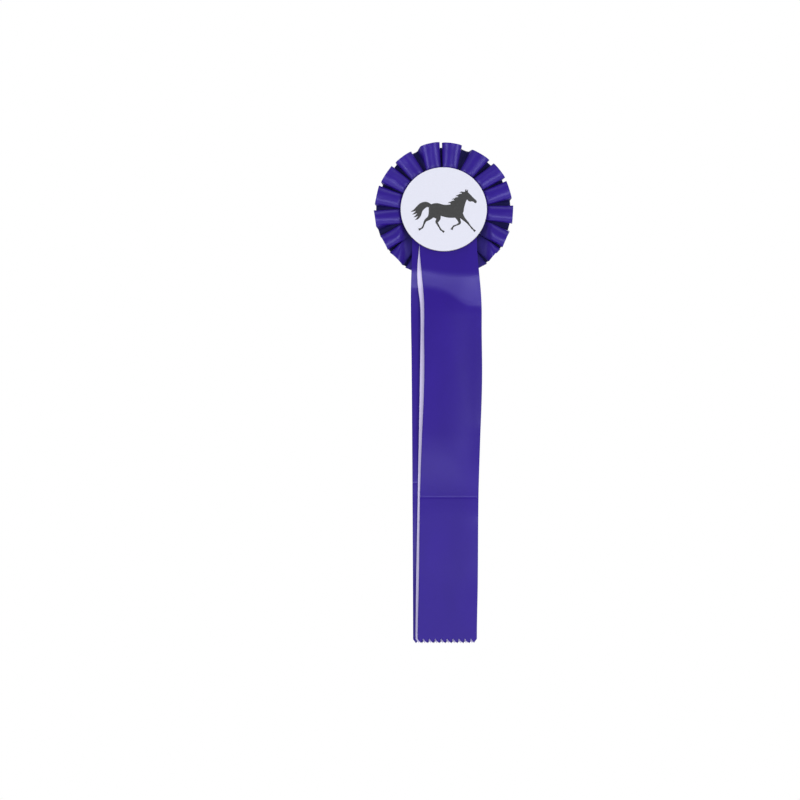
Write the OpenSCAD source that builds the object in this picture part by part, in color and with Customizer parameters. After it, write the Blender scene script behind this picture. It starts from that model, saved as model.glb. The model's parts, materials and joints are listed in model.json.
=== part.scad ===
// Award rosette: a pleated satin head with a printed card centre, three ribbon tails
// and a brooch bar on the back.
// The rosette hangs upright: +Z is up and the printed face looks along -Y.
// The origin is the middle of the brooch needle, on its axis.

/* [Centre disc] */
// Diameter of the printed centre disc
disc_d = 60; // [56:1:64]
// Thickness of the printed label
label_t = 0.3; // [0.2:0.05:0.5]
// Thickness of the card under the label
card_t = 1.5; // [1:0.1:2]
// Distance from the needle's axis down to the centre of the disc
disc_drop = 14; // [12:0.5:16]
// Length of the printed horse, from its tail to its nose
motif_len = 46; // [36:1:48]

/* [Ruffle] */
// Diameter over the pleats
ruffle_d = 96; // [92:1:102]
// Width of the ribbon that is pleated
ruffle_ribbon_w = 25; // [24:0.5:27]
// Number of box pleats
pleats = 18; // [14:1:22]
// Depth of the pleats at the outer edge
pleat_depth = 8.6; // [6:0.2:9]
// Number of stitches in the gathering thread
stitches = 36; // [24:1:44]

/* [Tails] */
// Width of the tail ribbon
tail_w = 40; // [38:0.5:41]
// Distance from the disc's centre down to the tips of the teeth
tail_drop = 301; // [260:1:340]
// Distance from the disc's centre down to the packing crease of the front tail
crease_drop = 202; // [170:1:220]
// Sideways place of the front tail
front_shift = 4.5; // [3:0.1:5]
// Sideways place of the middle tail
middle_shift = 2.7; // [0:0.1:3]
// Sideways place of the back tail
back_shift = -2.2; // [-3:0.1:0]
// Number of pinked teeth across a tail
teeth = 10; // [8:1:13]
// Depth of a pinked tooth
tooth_depth = 2.8; // [2:0.1:3.4]

/* [Brooch bar] */
// Length of the bar
bar_len = 32; // [30:0.5:34]
// Width of the bar
bar_w = 5; // [4.6:0.1:6]
// Radius of the needle's shank
needle_r = 0.4; // [0.35:0.01:0.42]

/* [Hidden] */
$fn = 64;

// Colours
blue = [0.22, 0.12, 0.56];
white = [0.86, 0.83, 0.97];
paper = [0.90, 0.90, 0.96];
ink = [0.25, 0.25, 0.25];
grey_card = [0.62, 0.58, 0.52];
steel = [0.78, 0.78, 0.80];

// Layers from the back of the head to its front, along -Y. Each value is the front of its layer.
cover_back = -3.0;
cover_t = 0.6;
cover_front = cover_back - cover_t;
base_t = 1.5;
base_front = cover_front - base_t;
flange_t = 1.0;
flange_front = base_front - flange_t;
tail_t = 0.4;
tail_gap = 0.4;
tail_pitch = tail_t + tail_gap;
neck_clear = 0.3;
wire_r = 0.25;
crown_room = 2 * wire_r + 0.1;
// Front faces of the tails: 0 is the front tail, 2 is the back tail
function tail_front(k) = flange_front - neck_clear - tail_t - (2 - k) * tail_pitch;
// The tails' staple lies between the front tail and the card
card_back = tail_front(0) - crown_room;
card_front = card_back - card_t;
label_front = card_front - label_t;
motif_t = 0.1;

// Head
disc_r = disc_d / 2;
board_r = disc_r - 1;
ruffle_r = ruffle_d / 2;
ruffle_in = ruffle_r - ruffle_ribbon_w;
cloth_t = 0.5;
pad_r = ruffle_in - 0.6;
pad_gap = 1;
clinch = 3;

// Ruffle: flat over the boards, then rising into pleats
flat_r = board_r + 0.3;
pleat_rise = 4;
inner_share = 0.55;
pleat_lean = 0.8;
press_margin = 8;
press_fade = 6;
press_top = -4;
press_rise = 8;
thread_r = 0.15;
stitch_len = 1.8;
stitch_in = 2;
pleat_staple_angles = [15, 55, 90, 125, 165];
pleat_staple_w = 6;
pleat_clinch = 1.8;
pleat_staple_r = board_r - 2.7;

// Tails
shifts = [front_shift, middle_shift, back_shift];
staple_drop = 10;
staple_x = (front_shift + back_shift) / 2;
staple_w = 10;
neck_top = 2;
// The bend lines step down the stack, so that the layers clear each other when they swing
bend_step = 5;
bend_drop = [for (k = [0:2]) disc_r + 1 + k * bend_step];
fold_drop = [for (k = [0:2]) crease_drop - k * bend_step];
bend_gap = 0.2;
fan_angle = 4;
// A staple prong's hole in a tail leaves room for the sideways swing
prong_reach = staple_w / 2 + abs(front_shift - staple_x);
prong_hole_r = wire_r + 0.3 + prong_reach * sin(fan_angle);

// Brooch bar
plate_t = 0.6;
plate_back = cover_back + plate_t;
hinge_x = -bar_len / 2 + 3.5;
ear_t = 0.6;
ear_in = 1.25;
ear_r = 1.5;
rivet_r = 0.5;
rivet_head_r = 0.95;
rivet_head_t = 0.4;
hub_r = 1.1;
hub_h = 2.2;
running = 0.05;
shank_end = 9.5;
taper_len = 0.5;
point_r = 0.33;
tip_r = 0.06;
point_len = 2.4;
needle_tip = bar_len / 2;
catch_x0 = 10.4;
catch_x1 = 14.4;
catch_r = 2.0;
catch_bore = 1.45;
drum_r = 1.35;
drum_bore = 0.75;
drum_end = 0.2;
mouth = 90;
foot_w = 2;
drum_mouth = 80;
lever_angle = 60;
lever_w = 1.0;
lever_t = 0.7;
lever_r = 3.2;
lever_turn = 110;
lever_x = (catch_x0 + catch_x1) / 2;
post_x = 6;
post_r = 1.0;
post_head_r = 1.8;
post_head_t = 0.4;

function smooth(t) = t <= 0 ? 0 : t >= 1 ? 1 : t * t * (3 - 2 * t);
function mix(a, b, t) = a + (b - a) * t;

// ---- helpers -------------------------------------------------------------------------------

// Moves its children from the origin down to the centre of the disc
module at_disc() {
    translate([0, 0, -disc_drop]) children();
}

// Extrudes a flat drawing whose y means up, between a front and a back plane
module slab(front, back) {
    translate([0, back, 0]) rotate([90, 0, 0]) linear_extrude(height = back - front) children();
}

// A slice of a disc between two angles
module sector(r, from_angle, to_angle) {
    steps = 8;
    polygon(concat([[0, 0]], [for (i = [0:steps]) let (a = mix(from_angle, to_angle, i / steps))
                              r * [cos(a), sin(a)]]));
}

// A driven staple of flat wire along X: crown in front, two prongs, legs clinched inwards behind
module staple(width, front, back, leg) {
    wire = 2 * wire_r;
    half = width / 2 + wire_r;
    translate([-half, front - wire_r, -wire_r]) cube([2 * half, wire, wire]);
    for (s = [0, 1]) mirror([s, 0, 0]) {
        translate([half - wire, front, -wire_r]) cube([wire, back - front, wire]);
        translate([half - wire - leg, back - wire_r, -wire_r]) cube([leg + wire, wire, wire]);
    }
}

// ---- the centre ----------------------------------------------------------------------------

module centre_label() {
    color(paper) at_disc() slab(label_front, card_front) circle(d = disc_d, $fn = 128);
}

module centre_board() {
    color(grey_card) at_disc() slab(card_front, card_back) circle(d = disc_d, $fn = 128);
}

// A point of a smooth curve through the points p, between p[i] and p[i + 1]
function spline_at(p, i, t, closed) =
    let (n = len(p),
         a = closed ? p[(i + n - 1) % n] : p[max(i - 1, 0)],
         b = p[i],
         c = closed ? p[(i + 1) % n] : p[min(i + 1, n - 1)],
         d = closed ? p[(i + 2) % n] : p[min(i + 2, n - 1)])
    0.5 * (2 * b + (c - a) * t + (2 * a - 5 * b + 4 * c - d) * t * t
           + (3 * b - a - 3 * c + d) * t * t * t);

// Every point of the curve, with a few steps for each stretch
function spline(p, steps, closed) =
    [for (i = [0:len(p) - (closed ? 1 : 2)], k = [0:steps - 1]) spline_at(p, i, k / steps, closed)];

function heading(p, i) =
    let (d = p[min(i + 1, len(p) - 1)] - p[max(i - 1, 0)], l = norm([d[0], d[1]]))
    [-d[1] / l, d[0] / l];

// A limb or lock of hair: points are [x, y, half width] along its middle
module stroke(points) {
    mid = concat(spline(points, 5, false), [points[len(points) - 1]]);
    one = [for (i = [0:len(mid) - 1]) let (h = heading(mid, i))
           [mid[i][0] + h[0] * mid[i][2], mid[i][1] + h[1] * mid[i][2]]];
    other = [for (i = [len(mid) - 1:-1:0]) let (h = heading(mid, i))
             [mid[i][0] - h[0] * mid[i][2], mid[i][1] - h[1] * mid[i][2]]];
    polygon(concat(one, other));
}

// A plain trotting horse, drawn about 47 units long and facing +x
module horse() {
    // barrel, neck and head, clockwise from the withers
    polygon(spline([[4.0, 6.5], [6.6, 8.6], [9.4, 12.2], [11.4, 14.3], [13.2, 15.2], [14.6, 14.8],
                    [16.6, 12.9], [18.9, 10.4], [20.7, 8.6], [21.1, 7.5], [20.4, 6.7], [19.5, 6.9],
                    [18.6, 7.7], [17.4, 8.0], [16.2, 7.8], [15.0, 8.4], [14.3, 9.3], [13.4, 8.0],
                    [12.6, 5.4], [12.0, 3.0], [11.7, 0.8], [10.6, -1.4], [8.0, -3.3], [4.0, -4.1],
                    [-0.6, -3.8], [-4.6, -2.7], [-7.6, -2.6], [-10.4, -3.2], [-12.4, -1.4],
                    [-13.2, 1.8], [-12.6, 4.6], [-10.2, 6.3], [-6.6, 6.6], [-2.6, 5.5], [1.0, 5.5]],
                   4, true));
    // ears
    stroke([[13.4, 14.6, 0.7], [13.3, 15.8, 0.5], [13.5, 17.0, 0.08]]);
    stroke([[14.2, 14.4, 0.6], [14.4, 15.6, 0.45], [14.9, 16.6, 0.08]]);
    // fore legs: one reaching forward, one folded under
    stroke([[8.6, -0.6, 2.6], [10.8, -3.8, 1.45], [13.4, -6.6, 0.85], [14.5, -7.8, 0.72],
            [16.4, -10.2, 0.46], [17.5, -11.7, 0.58], [18.4, -12.6, 0.44], [19.0, -13.2, 0.6],
            [19.8, -14.0, 0.85]]);
    stroke([[6.4, -1.4, 2.6], [7.9, -4.8, 1.3], [8.9, -7.5, 0.85], [8.0, -8.7, 0.66],
            [6.0, -9.6, 0.46], [4.6, -10.2, 0.58], [3.9, -11.1, 0.44], [3.5, -11.8, 0.6],
            [3.0, -12.8, 0.82]]);
    // hind legs: one under the body, one pushing off
    stroke([[-8.8, -0.6, 3.6], [-6.4, -4.2, 1.8], [-7.5, -7.2, 0.95], [-7.0, -8.6, 0.68],
            [-5.5, -11.3, 0.5], [-4.7, -12.7, 0.6], [-3.8, -13.4, 0.46], [-3.2, -13.9, 0.62],
            [-2.3, -14.6, 0.85]]);
    stroke([[-10.2, 0.2, 3.2], [-12.2, -3.6, 1.7], [-15.3, -6.0, 0.95], [-16.1, -7.3, 0.7],
            [-17.0, -9.7, 0.5], [-17.7, -11.2, 0.6], [-18.5, -11.9, 0.46], [-19.2, -12.3, 0.62],
            [-20.4, -12.7, 0.85]]);
    // tail: four locks from the dock
    for (lock = [0:3]) {
        drop = lock * 1.7;
        stroke([[-11.4, 4.6 - 0.3 * lock, 1.0], [-14.6, 6.4 - 0.5 * lock, 1.15],
                [-18.2, 6.0 - 0.8 * drop, 1.05], [-21.0 + 0.3 * drop, 3.6 - drop, 1.0],
                [-23.4 + 0.5 * drop, 1.4 - 1.1 * drop, 0.7], [-26.0 + 0.6 * drop, 0.4 - 1.2 * drop, 0.06]]);
    }
    // mane: seven locks along the crest
    for (lock = [0:6]) {
        root = [mix(13.2, 5.0, lock / 6), mix(13.4, 5.8, lock / 6)];
        lift = lock % 2 == 0 ? 0.5 : -0.2;
        stroke([[root[0] + 0.6, root[1] - 0.4, 1.2], [root[0] - 1.6, root[1] + 0.7, 0.9],
                [root[0] - 3.2, root[1] + 0.9 + lift, 0.4], [root[0] - 4.4, root[1] + 0.4 + lift, 0.05]]);
    }
}

module printed_motif() {
    drawn_len = 47.1;
    drawn_middle = [-2.45, 2.4];
    color(ink) at_disc() slab(label_front - motif_t, label_front)
        scale(motif_len / drawn_len) translate(-drawn_middle) horse();
}

// ---- the head's inside ---------------------------------------------------------------------

// Two pads stick the centre to the base: a thick one above the tails, a thin one behind them
module foam_pads() {
    color("gainsboro") at_disc() {
        difference() {
            slab(card_back, base_front) intersection() {
                circle(r = pad_r);
                translate([-pad_r, pad_gap]) square([2 * pad_r, pad_r]);
            }
            // room for the heads of the bar's rivets
            for (s = [-1, 1]) translate([s * post_x, base_front + 1, disc_drop])
                rotate([90, 0, 0]) cylinder(h = 1 + post_head_t + 0.2, r = post_head_r + 0.2);
        }
        slab(flange_front, base_front) intersection() {
            circle(r = pad_r);
            translate([-pad_r, -pad_r]) square([2 * pad_r, pad_r - pad_gap / 2]);
        }
    }
}

module board(front, back) {
    difference() {
        at_disc() slab(front, back) circle(r = board_r, $fn = 96);
        for (s = [-1, 1]) translate([s * post_x, back + 1, 0])
            rotate([90, 0, 0]) cylinder(h = back - front + 2, r = post_r + running);
    }
}

module backing_board() {
    color(grey_card) board(base_front, cover_front);
}

module back_cover() {
    color(white) board(cover_front, cover_back);
}

module tail_staple() {
    front = tail_front(0) - wire_r - 0.05;
    color(steel) at_disc() translate([staple_x, 0, -staple_drop])
        staple(staple_w, front, cover_front + wire_r, clinch);
}

// Five staples hold the pleats to the base, clear of the tails
module ruffle_staples() {
    color(steel) at_disc() for (a = pleat_staple_angles)
        rotate([0, -a, 0]) translate([pleat_staple_r, 0, 0]) rotate([0, 90, 0])
            staple(pleat_staple_w, flange_front - 0.1, cover_front + wire_r, pleat_clinch);
}

// ---- the ruffle ----------------------------------------------------------------------------

// How far a place lies under the tails, from 0 beside them to 1 under them
function under_tails(x, z) =
    smooth((tail_w / 2 + press_margin - abs(x - staple_x)) / press_fade + 1)
    * smooth((press_top - z) / press_rise);

// Middle of the pleated cloth at an angle and a radius. The wave is 1 on a lobe and -1 in a valley
function pleat_y(a, r) =
    let (c = cos(pleats * (a - 90)),
         wave = c * (3 - c * c) / 2,
         out = smooth((r - flat_r) / pleat_rise) * mix(inner_share, 1, (r - disc_r) / (ruffle_r - disc_r)),
         flat_y = base_front - flange_t / 2,
         middle = flat_y - pleat_lean * out,
         free_y = middle - wave * out * (pleat_depth - cloth_t) / 2,
         pressed_y = max(free_y, flat_y))
    mix(free_y, pressed_y, under_tails(r * cos(a), r * sin(a)));

module ruffle() {
    steps = 10;
    around = pleats * steps;
    full_r = flat_r + pleat_rise;
    radii = [ruffle_in, flat_r, flat_r + pleat_rise / 2, full_r,
             (full_r + ruffle_r) / 2, ruffle_r];
    rings = len(radii);
    half = function(r) (r <= flat_r ? flange_t : cloth_t) / 2;
    points = [for (side = [-1, 1], r = radii, j = [0:around - 1])
        let (a = 360 * j / around) [r * cos(a), pleat_y(a, r) + side * half(r), r * sin(a)]];
    at = function(side, i, j) (side * rings + i) * around + j % around;
    faces = concat(
        [for (i = [0:rings - 2], j = [0:around - 1]) each [
            [at(0, i, j), at(0, i + 1, j + 1), at(0, i + 1, j)],
            [at(0, i, j), at(0, i, j + 1), at(0, i + 1, j + 1)],
            [at(1, i, j), at(1, i + 1, j), at(1, i + 1, j + 1)],
            [at(1, i, j), at(1, i + 1, j + 1), at(1, i, j + 1)]]],
        [for (j = [0:around - 1]) each [
            [at(0, 0, j), at(1, 0, j), at(1, 0, j + 1)],
            [at(0, 0, j), at(1, 0, j + 1), at(0, 0, j + 1)],
            [at(0, rings - 1, j), at(1, rings - 1, j + 1), at(1, rings - 1, j)],
            [at(0, rings - 1, j), at(0, rings - 1, j + 1), at(1, rings - 1, j + 1)]]]);
    color(blue) at_disc() polyhedron(points = points, faces = faces, convexity = 10);
}

// The running stitches that gather the inner edge of the pleats
module ruffle_thread() {
    color(blue) at_disc() for (k = [0:stitches - 1])
        rotate([0, 360 * (k + 0.5) / stitches, 0])
            translate([ruffle_in + stitch_in, flange_front + thread_r / 3, -stitch_len / 2])
                cylinder(h = stitch_len, r = thread_r, $fn = 16);
}

// ---- the tails -----------------------------------------------------------------------------

// One stretch of tail k between two drops below the disc's centre
module tail_part(k, from_drop, to_drop) {
    slab(tail_front(k), tail_front(k) + tail_t)
        translate([shifts[k] - tail_w / 2, -to_drop]) square([tail_w, to_drop - from_drop]);
}

module tail_neck(k) {
    at_disc() difference() {
        tail_part(k, neck_top, bend_drop[k] - bend_gap / 2);
        for (s = [-1, 1]) translate([staple_x + s * staple_w / 2, 0, -staple_drop])
            rotate([90, 0, 0]) cylinder(h = 20, r = prong_hole_r, $fn = 32);
    }
}

module tail_upper(k) {
    at_disc() tail_part(k, bend_drop[k] + bend_gap / 2, fold_drop[k] - bend_gap / 2);
}

module tail_lower(k) {
    top = -fold_drop[k] - bend_gap / 2;
    root = -tail_drop + tooth_depth;
    pitch = tail_w / teeth;
    left = shifts[k] - tail_w / 2;
    edge = [for (i = [0:teeth - 1]) each [[left + i * pitch, root], [left + (i + 0.5) * pitch, -tail_drop]]];
    at_disc() slab(tail_front(k), tail_front(k) + tail_t)
        polygon(concat([[left, top]], edge, [[left + tail_w, root], [left + tail_w, top]]));
}

module front_tail_neck() { color(blue) tail_neck(0); }
module front_tail_upper() { color(blue) tail_upper(0); }
module front_tail_lower() { color(blue) tail_lower(0); }
module middle_tail_neck() { color(white) tail_neck(1); }
module middle_tail_upper() { color(white) tail_upper(1); }
module middle_tail_lower() { color(white) tail_lower(1); }
module back_tail_neck() { color(blue) tail_neck(2); }
module back_tail_upper() { color(blue) tail_upper(2); }
module back_tail_lower() { color(blue) tail_lower(2); }

// ---- the brooch bar ------------------------------------------------------------------------

// A ring along X about the needle's axis, with an opening towards +Y
module open_ring(x0, x1, r_out, r_in, opening) {
    translate([x0, 0, 0]) rotate([90, 0, 90]) difference() {
        cylinder(h = x1 - x0, r = r_out);
        translate([0, 0, -1]) cylinder(h = x1 - x0 + 2, r = r_in);
        translate([0, 0, -1]) linear_extrude(height = x1 - x0 + 2)
            sector(2 * r_out, -opening / 2, opening / 2);
    }
}

module hinge_ear() {
    difference() {
        union() {
            cylinder(h = ear_t, r = ear_r);
            translate([-ear_r, plate_back - 0.1, 0]) cube([2 * ear_r, -plate_back + 0.1, ear_t]);
        }
        translate([0, 0, -1]) cylinder(h = ear_t + 2, r = rivet_r + 0.01);
    }
}

module pin_plate() {
    end = bar_len / 2 - bar_w / 2;
    // the lever's slot is wider than the lever by this much at each side
    side_room = 0.2;
    slack = asin((lever_t / 2 + side_room) / catch_bore);
    color(steel) {
        difference() {
            slab(cover_back, plate_back) union() {
                square([2 * end, bar_w], center = true);
                for (s = [-1, 1]) translate([s * end, 0]) circle(d = bar_w);
            }
            for (s = [-1, 1]) translate([s * post_x, 0, 0]) rotate([90, 0, 0])
                cylinder(h = 10, r = post_r + running);
        }
        for (s = [0, 1]) mirror([0, 0, s]) translate([hinge_x, 0, ear_in]) hinge_ear();
        difference() {
            union() {
                open_ring(catch_x0, catch_x1, catch_r, catch_bore, mouth);
                // the foot that joins the ring to the bar
                translate([catch_x0, plate_back - 0.1, -foot_w / 2])
                    cube([catch_x1 - catch_x0, -plate_back - catch_bore - 0.15, foot_w]);
            }
            translate([lever_x - lever_w / 2 - side_room, 0, 0]) rotate([90, 0, 90])
                linear_extrude(height = lever_w + 2 * side_room)
                    sector(2 * catch_r, lever_angle - lever_turn - slack, lever_angle + slack);
        }
    }
}

// Two rivets fasten the bar through the cover and the base
module plate_rivets() {
    color(steel) for (s = [-1, 1]) translate([s * post_x, 0, 0]) rotate([90, 0, 0]) {
        translate([0, 0, -plate_back]) cylinder(h = plate_back - base_front, r = post_r);
        translate([0, 0, -base_front]) cylinder(h = post_head_t, r = post_head_r);
        translate([0, 0, -plate_back - post_head_t]) cylinder(h = post_head_t, r = post_head_r - 0.2);
    }
}

module pin_rivet() {
    reach = ear_in + ear_t;
    color(steel) translate([hinge_x, 0, 0]) {
        translate([0, 0, -reach]) cylinder(h = 2 * reach, r = rivet_r);
        for (s = [0, 1]) mirror([0, 0, s]) translate([0, 0, reach])
            cylinder(h = rivet_head_t, r = rivet_head_r);
    }
}

module pin_needle() {
    shank_start = hinge_x + hub_r * 0.6;
    color(steel) difference() {
        union() {
            translate([hinge_x, 0, -hub_h / 2]) cylinder(h = hub_h, r = hub_r);
            rotate([0, 90, 0]) {
                translate([0, 0, shank_start]) cylinder(h = shank_end - shank_start, r = needle_r);
                translate([0, 0, shank_end]) cylinder(h = taper_len, r1 = needle_r, r2 = point_r);
                translate([0, 0, shank_end + taper_len])
                    cylinder(h = needle_tip - point_len - shank_end - taper_len, r = point_r);
                translate([0, 0, needle_tip - point_len]) cylinder(h = point_len, r1 = point_r, r2 = tip_r);
            }
        }
        translate([hinge_x, 0, -hub_h]) cylinder(h = 2 * hub_h, r = rivet_r + running);
    }
}

// The drum turns inside the open ring and shuts its mouth; shown open
module catch_drum() {
    color(steel) {
        open_ring(catch_x0 + drum_end, catch_x1 - drum_end, drum_r, drum_bore, drum_mouth);
        rotate([lever_angle, 0, 0]) translate([lever_x - lever_w / 2, drum_r - 0.3, -lever_t / 2])
            cube([lever_w, lever_r - drum_r + 0.3, lever_t]);
    }
}

centre_label();
printed_motif();
centre_board();
foam_pads();
ruffle();
ruffle_thread();
ruffle_staples();
tail_staple();
backing_board();
back_cover();
front_tail_neck();
front_tail_upper();
front_tail_lower();
middle_tail_neck();
middle_tail_upper();
middle_tail_lower();
back_tail_neck();
back_tail_upper();
back_tail_lower();
pin_plate();
plate_rivets();
pin_rivet();
pin_needle();
catch_drum();
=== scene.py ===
"""Award ribbon: the looks. Satin, card, print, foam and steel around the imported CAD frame."""

import json
import math
import random

import bpy
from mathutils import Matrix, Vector, noise


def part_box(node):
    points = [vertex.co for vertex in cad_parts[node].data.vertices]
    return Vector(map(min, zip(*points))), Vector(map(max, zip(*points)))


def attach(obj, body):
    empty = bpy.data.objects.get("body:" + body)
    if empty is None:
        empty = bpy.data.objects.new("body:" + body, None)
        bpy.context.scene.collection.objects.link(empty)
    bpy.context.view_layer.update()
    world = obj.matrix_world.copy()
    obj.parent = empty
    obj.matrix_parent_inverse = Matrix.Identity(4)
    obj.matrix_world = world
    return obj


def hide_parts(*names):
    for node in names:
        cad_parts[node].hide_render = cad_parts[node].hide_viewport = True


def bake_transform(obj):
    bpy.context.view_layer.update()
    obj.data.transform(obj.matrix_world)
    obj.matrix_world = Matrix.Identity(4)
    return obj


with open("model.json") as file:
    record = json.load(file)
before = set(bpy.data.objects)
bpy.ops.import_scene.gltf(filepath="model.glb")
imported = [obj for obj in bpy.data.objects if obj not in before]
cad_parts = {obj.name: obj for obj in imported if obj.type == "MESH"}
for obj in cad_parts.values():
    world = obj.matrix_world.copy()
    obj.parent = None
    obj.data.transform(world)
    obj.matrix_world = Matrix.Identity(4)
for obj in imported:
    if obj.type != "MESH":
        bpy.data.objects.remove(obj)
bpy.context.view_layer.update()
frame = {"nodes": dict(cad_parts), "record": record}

MM = 0.001

# ---- places, all taken from the frame ---------------------------------------------------------


def centre_and_size(node):
    low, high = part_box(node)
    return (low + high) / 2, high - low


DISC, DISC_SIZE = centre_and_size("centre_label")
DISC_R = DISC_SIZE.x / 2
RUFFLE_R = centre_and_size("ruffle")[1].x / 2
RUFFLE_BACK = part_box("ruffle")[1].y
RUFFLE_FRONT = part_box("ruffle")[0].y
BASE_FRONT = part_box("backing_board")[0].y
BOARD_R = (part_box("backing_board")[1].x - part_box("backing_board")[0].x) / 2
CARD_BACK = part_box("centre_board")[1].y
TAILS = ["front", "middle", "back"]
TAIL_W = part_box("front_tail_upper")[1].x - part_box("front_tail_upper")[0].x
TIP_DROP = DISC.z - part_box("front_tail_lower")[0].z


def joint_at(name):
    """A joint's place in the frame."""
    found = [j for j in frame["record"]["behaviour"]["joints"] if j["name"] == name]
    return Vector(found[0]["pos_m"])


# ---- small helpers ----------------------------------------------------------------------------


def mix(a, b, t):
    return a + (b - a) * t


def smooth(t):
    t = min(max(t, 0.0), 1.0)
    return t * t * (3 - 2 * t)


def fade(start, stop, x):
    """0 at start and 1 at stop, with a smooth step between them."""
    return smooth((x - start) / (stop - start))


def through(points, x):
    """A smooth curve's value at x. points are (place, value) pairs, from low to high."""
    if x <= points[0][0]:
        return points[0][1]
    if x >= points[-1][0]:
        return points[-1][1]
    slopes = [0.0] * len(points)
    for i in range(1, len(points) - 1):
        slopes[i] = (points[i + 1][1] - points[i - 1][1]) / (points[i + 1][0] - points[i - 1][0])
    i = max(n for n in range(len(points) - 1) if points[n][0] <= x)
    (x0, y0), (x1, y1) = points[i], points[i + 1]
    step = x1 - x0
    t = (x - x0) / step
    return (
        y0 * (2 * t**3 - 3 * t**2 + 1)
        + slopes[i] * step * (t**3 - 2 * t**2 + t)
        + y1 * (3 * t**2 - 2 * t**3)
        + slopes[i + 1] * step * (t**3 - t**2)
    )


def sheet_mesh(name, rows, uvs, thickness, materials, around=False):
    """A cloth sheet from rows of points, with a thickness, one material on its face and one on its back.
    uvs holds (across, along) in millimetres for every point. around joins the last row to the first."""
    count, width = len(rows), len(rows[0])
    mesh = bpy.data.meshes.new(name)
    faces = []
    for i in range(count if around else count - 1):
        j = (i + 1) % count
        for k in range(width - 1):
            faces.append((i * width + k, j * width + k, j * width + k + 1, i * width + k + 1))
    mesh.from_pydata([p for row in rows for p in row], [], faces)
    layer = mesh.uv_layers.new(name="ribbon")
    flat = [uv for row in uvs for uv in row]
    wrap = uvs[-1][0][1] + (uvs[-1][0][1] - uvs[-2][0][1])
    for face in mesh.polygons:
        closing = around and face.index >= (count - 1) * (width - 1)
        for corner in face.loop_indices:
            vertex = mesh.loops[corner].vertex_index
            across, along = flat[vertex]
            if closing and vertex < width:
                along = wrap
            layer.data[corner].uv = (across, along)
    for material in materials:
        mesh.materials.append(material)
    piece = bpy.data.objects.new(name, mesh)
    bpy.context.scene.collection.objects.link(piece)
    solid = piece.modifiers.new("thickness", "SOLIDIFY")
    solid.thickness = thickness
    solid.offset = 0
    solid.material_offset = len(materials) - 1
    solid.material_offset_rim = 0
    return applied(piece)


def applied(piece):
    """The piece with its modifiers made part of its mesh, shaded smooth with crisp rims."""
    view = bpy.context.evaluated_depsgraph_get()
    final = bpy.data.meshes.new_from_object(piece.evaluated_get(view), depsgraph=view)
    piece.modifiers.clear()
    piece.data = final
    for face in final.polygons:
        face.use_smooth = True
    final.set_sharp_from_angle(angle=math.radians(50))
    return piece


# ---- materials --------------------------------------------------------------------------------


# painted shade: what is left of the cloth's colour deep in a fold, where the fold lies in shadow
FOLD_SHADOW = (0.04, 0.03, 0.24)


class Look:
    """A material under construction: its node tree with a few shortcuts."""

    def __init__(self, name):
        self.material = bpy.data.materials.new(name)
        self.material.use_nodes = True
        self.tree = self.material.node_tree
        self.shader = self.tree.nodes["Principled BSDF"]

    def set(self, **values):
        for key, value in values.items():
            self.shader.inputs[key.replace("_", " ")].default_value = value

    def node(self, kind, **settings):
        made = self.tree.nodes.new("ShaderNode" + kind)
        for key, value in settings.items():
            if hasattr(made, key):
                setattr(made, key, value)
            else:
                made.inputs[key.replace("_", " ")].default_value = value
        return made

    def link(self, source, target):
        self.tree.links.new(source, target)

    def place(self, scale):
        """Object coordinates times a scale, so a size in metres can be turned into a pattern's size."""
        coord = self.node("TexCoord")
        mapping = self.node("Mapping")
        mapping.inputs["Scale"].default_value = scale
        self.link(coord.outputs["Object"], mapping.inputs["Vector"])
        return mapping.outputs["Vector"]

    def ribbon(self, scale):
        """The cloth's own coordinates, in millimetres across and along, times a scale."""
        coord = self.node("UVMap", uv_map="ribbon")
        mapping = self.node("Mapping")
        mapping.inputs["Scale"].default_value = scale
        self.link(coord.outputs["UV"], mapping.inputs["Vector"])
        return mapping.outputs["Vector"]

    def ramp(self, value, stops):
        ramp = self.node("ValToRGB")
        elements = ramp.color_ramp.elements
        while len(elements) < len(stops):
            elements.new(0.5)
        for element, (place, colour) in zip(elements, stops):
            element.position = place
            element.color = (*colour, 1.0)
        self.link(value, ramp.inputs["Fac"])
        return ramp.outputs["Color"]

    def painted_shade_and_dull(self, colour, gloss, back, front):
        """The colour as it is in front, going dark toward the back with painted shade, and dull toward the back.
        """
        coord = self.node("TexCoord")
        parts = self.node("SeparateXYZ")
        self.link(coord.outputs["Object"], parts.inputs["Vector"])
        depth = self.node("MapRange", interpolation_type="SMOOTHSTEP")
        depth.inputs["From Min"].default_value = front
        depth.inputs["From Max"].default_value = back
        self.link(parts.outputs["Y"], depth.inputs["Value"])
        dull = self.node("MapRange")
        dull.inputs["To Min"].default_value = gloss
        dull.inputs["To Max"].default_value = 1.0
        self.link(depth.outputs["Result"], dull.inputs["Value"])
        self.link(dull.outputs["Result"], self.shader.inputs["Roughness"])
        shadow = self.ramp(depth.outputs["Result"], [(0.0, (1.0, 1.0, 1.0)), (1.0, FOLD_SHADOW)])
        both = self.node("Mix", data_type="RGBA", blend_type="MULTIPLY")
        both.inputs["Factor"].default_value = 1.0
        self.link(colour, both.inputs["A"])
        self.link(shadow, both.inputs["B"])
        return both.outputs["Result"]

    def bump(self, height, strength, distance, under=None):
        bump = self.node("Bump", Strength=strength, Distance=distance)
        self.link(height, bump.inputs["Height"])
        if under is not None:
            self.link(under, bump.inputs["Normal"])
        self.link(bump.outputs["Normal"], self.shader.inputs["Normal"])
        return bump.outputs["Normal"]


def shade(colour, factor):
    return tuple(min(c * factor, 1.0) for c in colour)


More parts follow.
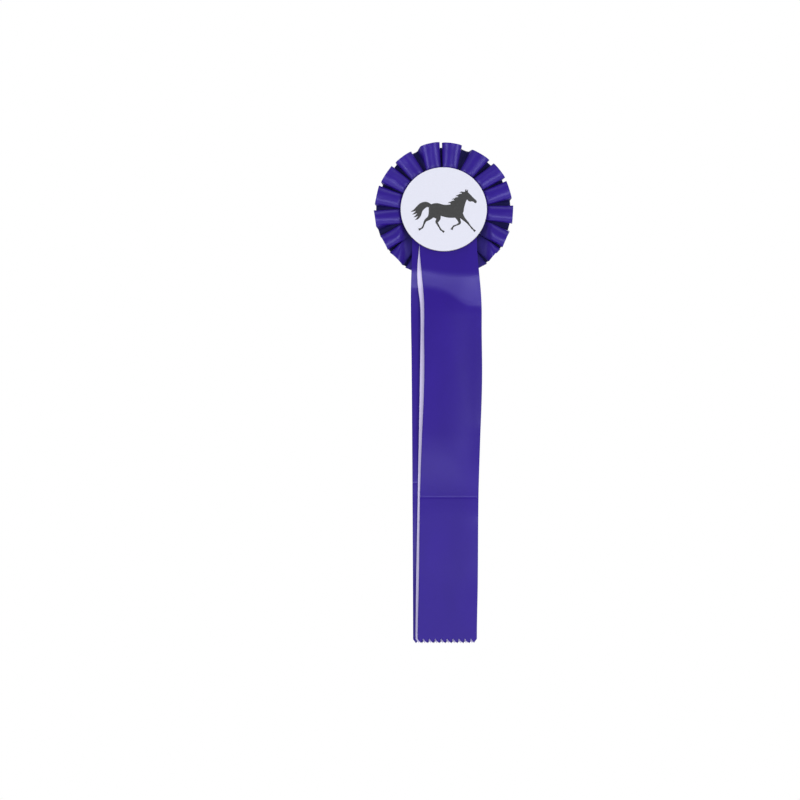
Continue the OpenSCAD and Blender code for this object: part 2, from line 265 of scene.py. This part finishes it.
def satin(name, colour, gloss, gleam, folds=None):
    """Woven satin: fine lengthwise threads, a directional gloss and slight uneven dye.
    folds is (back, front): the places along Y between which painted shade darkens the cloth into its folds."""
    look = Look(name)
    patches = look.node("TexNoise", Scale=1.0, Detail=3.0, Roughness=0.5)
    look.link(look.ribbon((0.03, 0.012, 1)), patches.inputs["Vector"])
    dyed = look.ramp(patches.outputs["Fac"], [(0.3, shade(colour, 0.9)), (0.7, shade(colour, 1.1))])
    threads = look.node("TexNoise", Scale=1.0, Detail=2.0, Roughness=0.6)
    look.link(look.ribbon((9.0, 0.35, 1)), threads.inputs["Vector"])
    streak = look.ramp(threads.outputs["Fac"], [(0.35, (0.90, 0.90, 0.90)), (0.65, (1.06, 1.06, 1.06))])
    blended = look.node("Mix", data_type="RGBA", blend_type="MULTIPLY")
    blended.inputs["Factor"].default_value = 1.0
    look.link(dyed, blended.inputs["A"])
    look.link(streak, blended.inputs["B"])
    cloth = blended.outputs["Result"]
    if folds is not None:
        cloth = look.painted_shade_and_dull(cloth, gloss, *folds)
    look.link(cloth, look.shader.inputs["Base Color"])
    weave = look.node("TexWave", wave_type="BANDS", bands_direction="X", Scale=0.9, Distortion=1.2,
                      Detail=2.0)
    weave.inputs["Detail Scale"].default_value = 2.0
    look.link(look.ribbon((1.0, 1.0, 1)), weave.inputs["Vector"])
    fine = look.bump(weave.outputs["Fac"], 0.10, 0.00003)
    look.bump(threads.outputs["Fac"], 0.18, 0.00006, under=fine)
    tangent = look.node("Tangent", direction_type="UV_MAP", uv_map="ribbon")
    look.link(tangent.outputs["Tangent"], look.shader.inputs["Tangent"])
    look.set(Roughness=gloss, Anisotropic=0.75, Specular_IOR_Level=0.65, Sheen_Weight=0.05,
             Sheen_Roughness=0.35)
    look.shader.inputs["Sheen Tint"].default_value = (*gleam, 1.0)
    look.shader.inputs["Specular Tint"].default_value = (*gleam, 1.0)
    return look.material


def paper(name, colour, fibre):
    """Smooth coated card with faint fibres."""
    look = Look(name)
    grain = look.node("TexNoise", Scale=1.0, Detail=4.0, Roughness=0.6)
    look.link(look.place((fibre, fibre, fibre)), grain.inputs["Vector"])
    tone = look.ramp(grain.outputs["Fac"], [(0.3, shade(colour, 0.975)), (0.7, shade(colour, 1.02))])
    look.link(tone, look.shader.inputs["Base Color"])
    look.bump(grain.outputs["Fac"], 0.12, 0.00005)
    look.set(Roughness=0.55, Specular_IOR_Level=0.35)
    return look.material


def print_ink():
    """A matt dark print that lets a little of the card's grain through."""
    look = Look("print_ink")
    grain = look.node("TexNoise", Scale=1.0, Detail=5.0, Roughness=0.65)
    look.link(look.place((900, 900, 900)), grain.inputs["Vector"])
    tone = look.ramp(grain.outputs["Fac"], [(0.3, (0.043, 0.044, 0.045)), (0.7, (0.061, 0.062, 0.064))])
    look.link(tone, look.shader.inputs["Base Color"])
    look.bump(grain.outputs["Fac"], 0.15, 0.00003)
    look.set(Roughness=0.6, Specular_IOR_Level=0.3)
    return look.material


def greyboard():
    """Raw recycled board: speckled, with a layered edge."""
    look = Look("greyboard")
    speck = look.node("TexNoise", Scale=1.0, Detail=6.0, Roughness=0.75)
    look.link(look.place((700, 700, 700)), speck.inputs["Vector"])
    tone = look.ramp(speck.outputs["Fac"], [(0.35, (0.26, 0.23, 0.19)), (0.6, (0.42, 0.38, 0.32))])
    look.link(tone, look.shader.inputs["Base Color"])
    layers = look.node("TexNoise", Scale=1.0, Detail=3.0, Roughness=0.6)
    look.link(look.place((120, 4500, 120)), layers.inputs["Vector"])
    look.bump(layers.outputs["Fac"], 0.4, 0.0001)
    look.set(Roughness=0.85, Specular_IOR_Level=0.2)
    return look.material


def foam():
    """Closed-cell foam tape: small round cells."""
    look = Look("foam")
    cells = look.node("TexVoronoi", Scale=1.0)
    look.link(look.place((2600, 2600, 2600)), cells.inputs["Vector"])
    tone = look.ramp(cells.outputs["Distance"], [(0.0, (0.70, 0.70, 0.67)), (0.6, (0.84, 0.84, 0.82))])
    look.link(tone, look.shader.inputs["Base Color"])
    look.bump(cells.outputs["Distance"], 0.5, 0.0001)
    look.set(Roughness=0.8, Specular_IOR_Level=0.3)
    return look.material


def thread():
    """Spun sewing thread: a twisted lay along its length, with painted shade in the twist's grooves and painted
    highlight on its plies.
    """
    look = Look("thread")
    twist = look.node("TexWave", wave_type="BANDS", bands_direction="DIAGONAL", Scale=1.0)
    look.link(look.place((2500, 2500, 2500)), twist.inputs["Vector"])
    tone = look.ramp(twist.outputs["Fac"], [(0.0, (0.02, 0.008, 0.14)), (1.0, (0.06, 0.03, 0.34))])
    look.link(tone, look.shader.inputs["Base Color"])
    look.bump(twist.outputs["Fac"], 0.4, 0.00005)
    look.set(Roughness=0.6, Sheen_Weight=0.3)
    return look.material


def steel(name, tone, roughness, direction):
    """Plated steel with fine drawing marks along a direction and slight handling marks."""
    look = Look(name)
    marks = look.node("TexNoise", Scale=1.0, Detail=4.0, Roughness=0.6)
    look.link(look.place(direction), marks.inputs["Vector"])
    wear = look.node("TexNoise", Scale=1.0, Detail=2.0, Roughness=0.5)
    look.link(look.place((350, 350, 350)), wear.inputs["Vector"])
    base = look.ramp(wear.outputs["Fac"], [(0.35, shade(tone, 0.88)), (0.65, tone)])
    look.link(base, look.shader.inputs["Base Color"])
    spread = look.node("MapRange")
    spread.inputs["To Min"].default_value = roughness * 0.8
    spread.inputs["To Max"].default_value = roughness * 1.3
    look.link(wear.outputs["Fac"], spread.inputs["Value"])
    look.link(spread.outputs["Result"], look.shader.inputs["Roughness"])
    look.bump(marks.outputs["Fac"], 0.15, 0.00003)
    look.set(Metallic=1.0)
    return look.material


BLUE = (0.027, 0.0065, 0.265)
WHITE = (0.66, 0.61, 0.90)
FACE_GLOSS = 0.34
BLUE_GLEAM = (0.60, 0.60, 1.0)
# the span of depth over which the pleats' colour gets painted shade in their folds
FOLD_SHADE_SPAN = (RUFFLE_BACK - 1 * MM, RUFFLE_FRONT + 3 * MM)
BLUE_SATIN = satin("blue_satin", BLUE, FACE_GLOSS, BLUE_GLEAM)
PLEAT_SATIN = satin("pleat_satin", BLUE, FACE_GLOSS, BLUE_GLEAM, folds=FOLD_SHADE_SPAN)
BLUE_BACK = satin("blue_satin_back", shade(BLUE, 0.9), 0.62, (0.45, 0.40, 0.90))
WHITE_SATIN = satin("white_satin", WHITE, FACE_GLOSS, (0.90, 0.88, 1.0))
WHITE_BACK = satin("white_satin_back", shade(WHITE, 0.92), 0.6, (0.85, 0.83, 0.95))
GREYBOARD = greyboard()
PIN_STEEL = steel("pin_steel", (0.62, 0.61, 0.59), 0.3, (200, 3000, 3000))

CAD_LOOKS = {
    "centre_label": paper("label_paper", (0.775, 0.785, 0.90), 1500),
    "printed_motif": print_ink(),
    "centre_board": GREYBOARD,
    "backing_board": GREYBOARD,
    "foam_pads": foam(),
    "back_cover": paper("cover_card", (0.80, 0.80, 0.80), 900),
    "ruffle_thread": thread(),
    "ruffle_staples": steel("staple_wire", (0.55, 0.55, 0.55), 0.35, (3000, 3000, 200)),
    "tail_staple": steel("tail_staple_wire", (0.55, 0.55, 0.55), 0.35, (200, 3000, 3000)),
    "pin_plate": PIN_STEEL,
    "plate_rivets": PIN_STEEL,
    "pin_rivet": PIN_STEEL,
    "catch_drum": PIN_STEEL,
    "pin_needle": steel("needle_steel", (0.72, 0.72, 0.72), 0.16, (150, 4000, 4000)),
}


def dress_cad_nodes():
    for node, material in CAD_LOOKS.items():
        obj = frame["nodes"][node]
        if not obj.material_slots:
            obj.data.materials.append(material)
        for held in obj.material_slots:
            held.material = material


# ---- the ruffle -------------------------------------------------------------------------------

PLEATS = 18
RIBBON_W = 25 * MM
CLOTH_T = 0.22 * MM
FIRST_LOBE = math.radians(8)
CROWDING = math.radians(6.2)
# half the width of a lobe and of a fold as a share of the pitch, under the disc and at the rim
SHARE_UNDER_DISC = 0.47
LOBE_SHARE = 0.375
FOLD_SHARE = 0.17
# how soon a lobe and a fold take on their width at the rim. A lower power is sooner
LOBE_POWER = 0.8
FOLD_POWER = 0.5
# depth of a lobe and of a fold, over the base and where they come out from under the disc
LOBE_ROOT = BASE_FRONT - 0.85 * MM
LOBE_AT_DISC = CARD_BACK
FOLD_ROOT = BASE_FRONT - 0.2 * MM
FOLD_AT_DISC = BASE_FRONT + 0.5 * MM
# between the middles of two bands, the cloth turns round the one up to the first of these places and round the
# other from the second on. A crown takes at most CROWN_MOST of the depth
TURNS = (0.38, 0.62)
CROWN_MOST = 0.45
# how far the cloth strays from a clean pleat at the rim
UNEVEN = 0.35 * MM


def out_from_disc(radius):
    """0 at the disc's edge and 1 at the ruffle's rim."""
    return (radius - DISC_R) / (RUFFLE_R - DISC_R)


class Band:
    """One flat of the pleats, a lobe in front or the fold behind between two lobes."""

    def __init__(self, index, draw):
        self.front = index % 2 == 0
        loose = 1.0 if self.front else 0.7
        turn = FIRST_LOBE + math.pi * (index + loose * draw.uniform(-0.08, 0.08)) / PLEATS
        # the pleats stand a little apart above and crowd together below, under the tails
        self.room = 1 + CROWDING * math.cos(turn)
        turn += CROWDING * math.sin(turn)
        self.angle = math.pi / 2 - turn
        self.wide = draw.uniform(0.9, 1.08)
        self.deep = draw.uniform(-0.7, 0.7) * MM
        self.lean = draw.uniform(-0.09, 0.09)
        self.roundness = draw.uniform(0.42, 0.66)
        self.reach = (draw.uniform(-0.5, 0.4) if self.front else draw.uniform(-1.3, -0.5)) * MM
        self.out = Vector((math.cos(self.angle), 0, math.sin(self.angle)))
        self.side = Vector((math.sin(self.angle), 0, -math.cos(self.angle)))

    def half_width(self, radius):
        """The lobes spread as they come out from under the disc, and the folds between them narrow."""
        pitch = 2 * math.pi * radius / PLEATS
        if radius < DISC_R:
            return SHARE_UNDER_DISC * pitch
        edge = out_from_disc(radius)
        outer = (LOBE_SHARE if self.front else FOLD_SHARE) * self.wide * self.room
        power = LOBE_POWER if self.front else FOLD_POWER
        return mix(SHARE_UNDER_DISC, outer, smooth(edge**power)) * pitch

    def depth(self, radius):
        """The band's place along Y at a radius."""
        edge = max(0.0, out_from_disc(radius))
        if self.front:
            rise = fade(DISC_R - 3.5 * MM, DISC_R + 2.5 * MM, radius)
            return mix(LOBE_ROOT, mix(LOBE_AT_DISC, RUFFLE_FRONT + self.deep, edge), rise)
        rise = fade(BOARD_R + 0.2 * MM, BOARD_R + 4.7 * MM, radius)
        return mix(FOLD_ROOT, mix(FOLD_AT_DISC, RUFFLE_BACK + self.deep, edge), rise)

    def point(self, sideways, radius):
        lean = self.lean * max(0.0, radius - DISC_R)
        reach = self.reach * smooth(out_from_disc(radius))
        return self.out * (radius + reach) + self.side * (sideways + lean)


# how the tails press on the pleats behind them: the span of x under any tail, the length over which the press
# fades beside it, the heights from the disc's centre between which it sets in, and the front of the room left
PRESS_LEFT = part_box("back_tail_upper")[0].x - 2.9 * MM
PRESS_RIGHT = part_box("front_tail_upper")[1].x + 3.4 * MM
PRESS_FADE = 6.5 * MM
PRESS_TOP = -3 * MM
PRESS_FULL = -13 * MM
PRESS_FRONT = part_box("back_tail_neck")[1].y + 0.7 * MM


def pressed(x, z, y):
    """The depth of a point of the pleats once the tails lie over it."""
    beside = max(PRESS_LEFT - x, x - PRESS_RIGHT, 0.0)
    under = fade(PRESS_FADE, 0, beside) * fade(PRESS_TOP, PRESS_FULL, z)
    span = RUFFLE_BACK - RUFFLE_FRONT
    squeezed = RUFFLE_BACK - (RUFFLE_BACK - y) * (RUFFLE_BACK - PRESS_FRONT) / span
    return mix(y, min(max(squeezed, PRESS_FRONT), RUFFLE_BACK), under)


def ruffle_point(one, other, t, radius):
    """A point of the pleated cloth: t runs from 0, the middle of one band, to 1, the middle of the next."""
    turn_one, turn_other = TURNS
    deep = other.depth(radius) - one.depth(radius)
    round_one = math.pi / 2 * min(t / turn_one, 1.0)
    round_other = math.pi / 2 * min((1 - t) / (1 - turn_other), 1.0)
    wide_one, wide_other = one.half_width(radius), other.half_width(radius)
    crown_one = min(one.roundness * wide_one / abs(deep), CROWN_MOST) * (1 - math.cos(round_one))
    crown_other = min(other.roundness * wide_other / abs(deep), CROWN_MOST) * (1 - math.cos(round_other))
    crossing = fade(turn_one, turn_other, t)
    near = one.point(wide_one * math.sin(round_one), radius)
    far = other.point(-wide_other * math.sin(round_other), radius)
    flat = near.lerp(far, crossing)
    y = one.depth(radius) + deep * mix(crown_one, 1 - crown_other, crossing)
    loose = smooth(out_from_disc(radius))
    y += UNEVEN * loose * noise.noise(Vector((flat.x, 3.1 * one.angle, flat.z)) * 160)
    y = pressed(flat.x, flat.z, y)
    return Vector((flat.x + DISC.x, y, flat.z + DISC.z))


def make_ruffle():
    draw = random.Random(18)
    bands = [Band(i, draw) for i in range(2 * PLEATS)]
    steps, across = 22, 26
    radii = [mix(RUFFLE_R - RIBBON_W, RUFFLE_R, k / across) for k in range(across + 1)]
    rows = []
    for i, one in enumerate(bands):
        other = bands[(i + 1) % len(bands)]
        for s in range(steps):
            rows.append([ruffle_point(one, other, s / steps, r) for r in radii])
    uvs, along = [], 0.0
    for i, row in enumerate(rows):
        uvs.append([((r - radii[0]) / MM, along / MM) for r in radii])
        along += (rows[(i + 1) % len(rows)][-1] - row[-1]).length
    piece = sheet_mesh("pleated_ruffle", rows, uvs, CLOTH_T, [PLEAT_SATIN, BLUE_BACK], around=True)
    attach(piece, "head")
    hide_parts("ruffle")


# ---- the tails --------------------------------------------------------------------------------

TEETH = 10
TOOTH = 2.8 * MM
# the length of cloth that the cut of the teeth draws up
CUT_LENGTH = 3 * TOOTH
# sideways bow of each tail from its straight CAD place: (drop below the disc's centre, shift), mm
BOW = {
    "front": [(0, -1.6), (25, -1.5), (44, -0.15), (57, 1.1), (68, 1.7), (85, 1.6), (113, 1.7), (134, 1.2),
              (161, 0.0), (200, -1.4), (260, -2.3), (301, -3.2)],
    "middle": [(0, 0.0), (25, 0.2), (36, -0.8), (45, -1.2), (53, -0.8), (70, 1.0), (110, 0.7), (200, -1.0),
               (301, -2.6)],
    "back": [(0, 0.2), (28, 0.1), (60, -0.8), (110, -0.3), (200, 0.2), (301, 0.5)],
}
# where a tail's cloth bends on its way down: the drop at its left edge, middle and right edge, the length the
# bend takes, and the change of slope. A positive slope leads back toward the wall. All in mm. The bends add up
# to nothing at the crease, so that the cloth lies on the line it folds about
BENDS = [
    (27, 27, 27, 6, -0.03),
    (42.5, 45.5, 46.5, 4, 0.26),
    (55, 58, 67, 6, -0.27),
    (84, 84, 150, 24, 0.016),
    (164, 166, 188, 24, 0.05),
    (200, 200, 200, 3, -0.06),
    (212, 211, 210, 14, 0.055),
    (258, 260, 262, 24, -0.06),
]
# the right side's curl toward the wall, from a line right of the disc's middle: the drops where it sets in and
# is full, where it begins to go and is gone, and its strength. All in mm
CURL_FROM = 6
CURLS = [(44, 64, 150, 185, 0.005), (212, 224, 250, 275, 0.0022)]
# how far the tails hang apart from each other between their ends, each from the next, the depth and reach of the
# pressed crease line, and the drop where the tails come clear of the ruffle. All in mm
APART = 1.4
CREASE_DEPTH = 0.14
CREASE_REACH = 0.7
CLEAR_DROP = 44
# how far a tail's cloth waves
RIPPLE = 0.15 * MM


def bent(drop, start, length):
    """How far a line has moved aside by a drop, for a slope of 1 that sets in over a length around start."""
    t = min(max((drop - start) / length + 0.5, 0.0), 1.0)
    return length * (t**3 - t**4 / 2) + max(0.0, drop - start - length / 2)


def hang(tail, x, drop):
    """How far a tail's cloth stands behind its flat place. x is from the disc's middle. All in metres."""
    x, drop, half = x / MM, drop / MM, TAIL_W / 2 / MM
    crease = (DISC.z - joint_at(tail + "_fold").z) / MM
    y = 0.0
    for left, middle, right, length, slope in BENDS:
        start = through([(-half, left), (0, middle), (half, right)], x)
        y += slope * bent(drop, start, length)
    for start, full, end, gone, strength in CURLS:
        y += strength * fade(start, full, drop) * fade(gone, end, drop) * max(0.0, x - CURL_FROM) ** 2
    # a sharp pressed line, and the tails a little apart above it and below it
    y += CREASE_DEPTH * math.exp(-(((drop - crease) / CREASE_REACH) ** 2))
    above = fade(CLEAR_DROP, CLEAR_DROP + 30, drop) * fade(crease - 4, crease - 44, drop)
    below = fade(crease + 4, crease + 64, drop)
    y += (TAILS.index(tail) - 1) * APART * (above + below)
    return y * MM


def tail_point(tail, sideways, drop):
    low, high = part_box(tail + "_tail_upper")
    middle_x = (low.x + high.x) / 2 + through(BOW[tail], drop / MM) * MM
    x = sideways * TAIL_W
    y = (low.y + high.y) / 2 + hang(tail, x + middle_x - DISC.x, drop)
    ripple = noise.noise(Vector((x * 30, drop * 14, TAILS.index(tail) * 0.37)))
    y += RIPPLE * ripple * fade(50 * MM, 90 * MM, drop)
    return Vector((middle_x + x, y, DISC.z - drop))


def tail_piece(tail, part, drops):
    """One stretch of a tail, over a span of drops."""
    columns = TEETH * 6
    rows, uvs = [], []
    for drop in drops:
        row, places = [], []
        for c in range(columns + 1):
            across = c / columns
            tooth = 1 - abs(2 * ((across * TEETH) % 1) - 1) if 0 < c < columns else 0.0
            cut = fade(TIP_DROP - CUT_LENGTH, TIP_DROP, drop) * (1 - tooth) * TOOTH
            row.append(tail_point(tail, across - 0.5, drop - cut))
            places.append((across * TAIL_W / MM, (drop - cut) / MM))
        rows.append(row)
        uvs.append(places)
    white = tail == "middle"
    looks = [WHITE_SATIN, WHITE_BACK] if white else [BLUE_SATIN, BLUE_BACK]
    piece = sheet_mesh(tail + "_ribbon_" + part, rows, uvs, CLOTH_T, looks)
    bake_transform(piece)
    return piece


def spaced(start, stop, step):
    count = max(1, round((stop - start) / step))
    return [mix(start, stop, i / count) for i in range(count + 1)]


def make_tail(tail):
    bend = DISC.z - joint_at(tail + "_lift").z
    fold = DISC.z - joint_at(tail + "_fold").z
    top = DISC.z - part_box(tail + "_tail_neck")[1].z
    seam = (bend + fold) / 2
    step, fine = 1.5 * MM, 0.35 * MM
    near = 2.1 * MM
    upper = spaced(top, seam, step)
    lower = spaced(seam, fold - near, step)[:-1] + spaced(fold - near, fold + near, fine)
    lower += spaced(fold + near, TIP_DROP, step)[1:]
    one = tail_piece(tail, "upper", upper)
    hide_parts(tail + "_tail_neck", tail + "_tail_upper")
    two = tail_piece(tail, "lower", lower)
    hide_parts(tail + "_tail_lower")


# ---- the stage --------------------------------------------------------------------------------


def make_floor():
    mesh = bpy.data.meshes.new("floor")
    reach, level = 6.0, -1.3
    corners = [(-reach, -reach, level), (reach, -reach, level), (reach, reach, level), (-reach, reach, level)]
    mesh.from_pydata(corners, [], [(0, 1, 2, 3)])
    look = Look("floor_paint")
    look.set(Roughness=0.9, Emission_Strength=0.42)
    look.shader.inputs["Base Color"].default_value = (0.82, 0.82, 0.82, 1)
    look.shader.inputs["Emission Color"].default_value = (1, 1, 1, 1)
    mesh.materials.append(look.material)
    floor = bpy.data.objects.new("floor", mesh)
    bpy.context.scene.collection.objects.link(floor)


def soft_light(name, azimuth, elevation, distance, radius, brightness):
    """A round soft box that faces the head. Azimuth 0 is in front, and 90 to the right."""
    light = bpy.data.lights.new(name, "AREA")
    light.shape = "DISK"
    light.size = 2 * radius
    light.energy = brightness * math.pi * math.pi * radius**2
    turn, rise = math.radians(azimuth), math.radians(elevation)
    away = Vector((math.sin(turn) * math.cos(rise), -math.cos(turn) * math.cos(rise), math.sin(rise)))
    lamp = bpy.data.objects.new(name, light)
    lamp.location = DISC + away * distance
    lamp.rotation_euler = away.to_track_quat("Z", "Y").to_euler()
    lamp.visible_camera = False
    bpy.context.scene.collection.objects.link(lamp)


def make_light():
    """A soft tent, dim where the camera stands and brighter all round it, and five soft boxes. The camera sees
    the tent as plain white."""
    world = bpy.data.worlds.new("studio")
    bpy.context.scene.world = world
    world.use_nodes = True
    tree = world.node_tree
    back = tree.nodes["Background"]
    back.inputs["Color"].default_value = (1, 1, 1, 1)
    dim, bright, open_angle = 0.12, 0.46, math.radians(70)
    coord = tree.nodes.new("ShaderNodeTexCoord")
    parts = tree.nodes.new("ShaderNodeSeparateXYZ")
    flip = tree.nodes.new("ShaderNodeMath")
    flip.operation = "MULTIPLY"
    flip.inputs[1].default_value = -1
    angle = tree.nodes.new("ShaderNodeMath")
    angle.operation = "ARCCOSINE"
    spread = tree.nodes.new("ShaderNodeMapRange")
    spread.inputs["From Max"].default_value = open_angle
    spread.inputs["To Min"].default_value = dim
    spread.inputs["To Max"].default_value = bright
    ray = tree.nodes.new("ShaderNodeLightPath")
    seen = tree.nodes.new("ShaderNodeMix")
    seen.inputs["B"].default_value = 1.0
    tree.links.new(coord.outputs["Generated"], parts.inputs["Vector"])
    tree.links.new(parts.outputs["Y"], flip.inputs[0])
    tree.links.new(flip.outputs["Value"], angle.inputs[0])
    tree.links.new(angle.outputs["Value"], spread.inputs["Value"])
    tree.links.new(spread.outputs["Result"], seen.inputs["A"])
    tree.links.new(ray.outputs["Is Camera Ray"], seen.inputs["Factor"])
    tree.links.new(seen.outputs["Result"], back.inputs["Strength"])
    #             azimuth, elevation, distance, radius, brightness
    soft_light("low", 4, -17, 1.7, 0.25, 6.4)
    soft_light("left", -38, -4, 1.7, 0.30, 6.6)
    soft_light("right", 40, 0, 1.7, 0.30, 7.0)
    soft_light("above", 10, 60, 1.7, 0.44, 1.4)
    soft_light("behind", 160, 25, 1.7, 0.6, 3.0)


def make_camera():
    """The photograph's view: square on from a little below, with the head above and right of the middle."""
    lens, sensor, distance = 100.0, 36.0, 1.527
    below = math.radians(10)
    aim_left, aim_back, aim_below = 30.5 * MM, -8 * MM, 134.6 * MM
    data = bpy.data.cameras.new("camera")
    data.lens = lens
    data.sensor_width = sensor
    camera = bpy.data.objects.new("camera", data)
    aim = Vector((DISC.x - aim_left, aim_back, DISC.z - aim_below))
    camera.location = aim - Vector((0, math.cos(below), math.sin(below))) * distance
    camera.rotation_euler = (math.pi / 2 + below, 0, 0)
    bpy.context.scene.collection.objects.link(camera)
    bpy.context.scene.camera = camera


bpy.context.scene.view_settings.view_transform = "Standard"
make_camera()
make_light()
make_floor()
dress_cad_nodes()
make_ruffle()
for tail in TAILS:
    make_tail(tail)
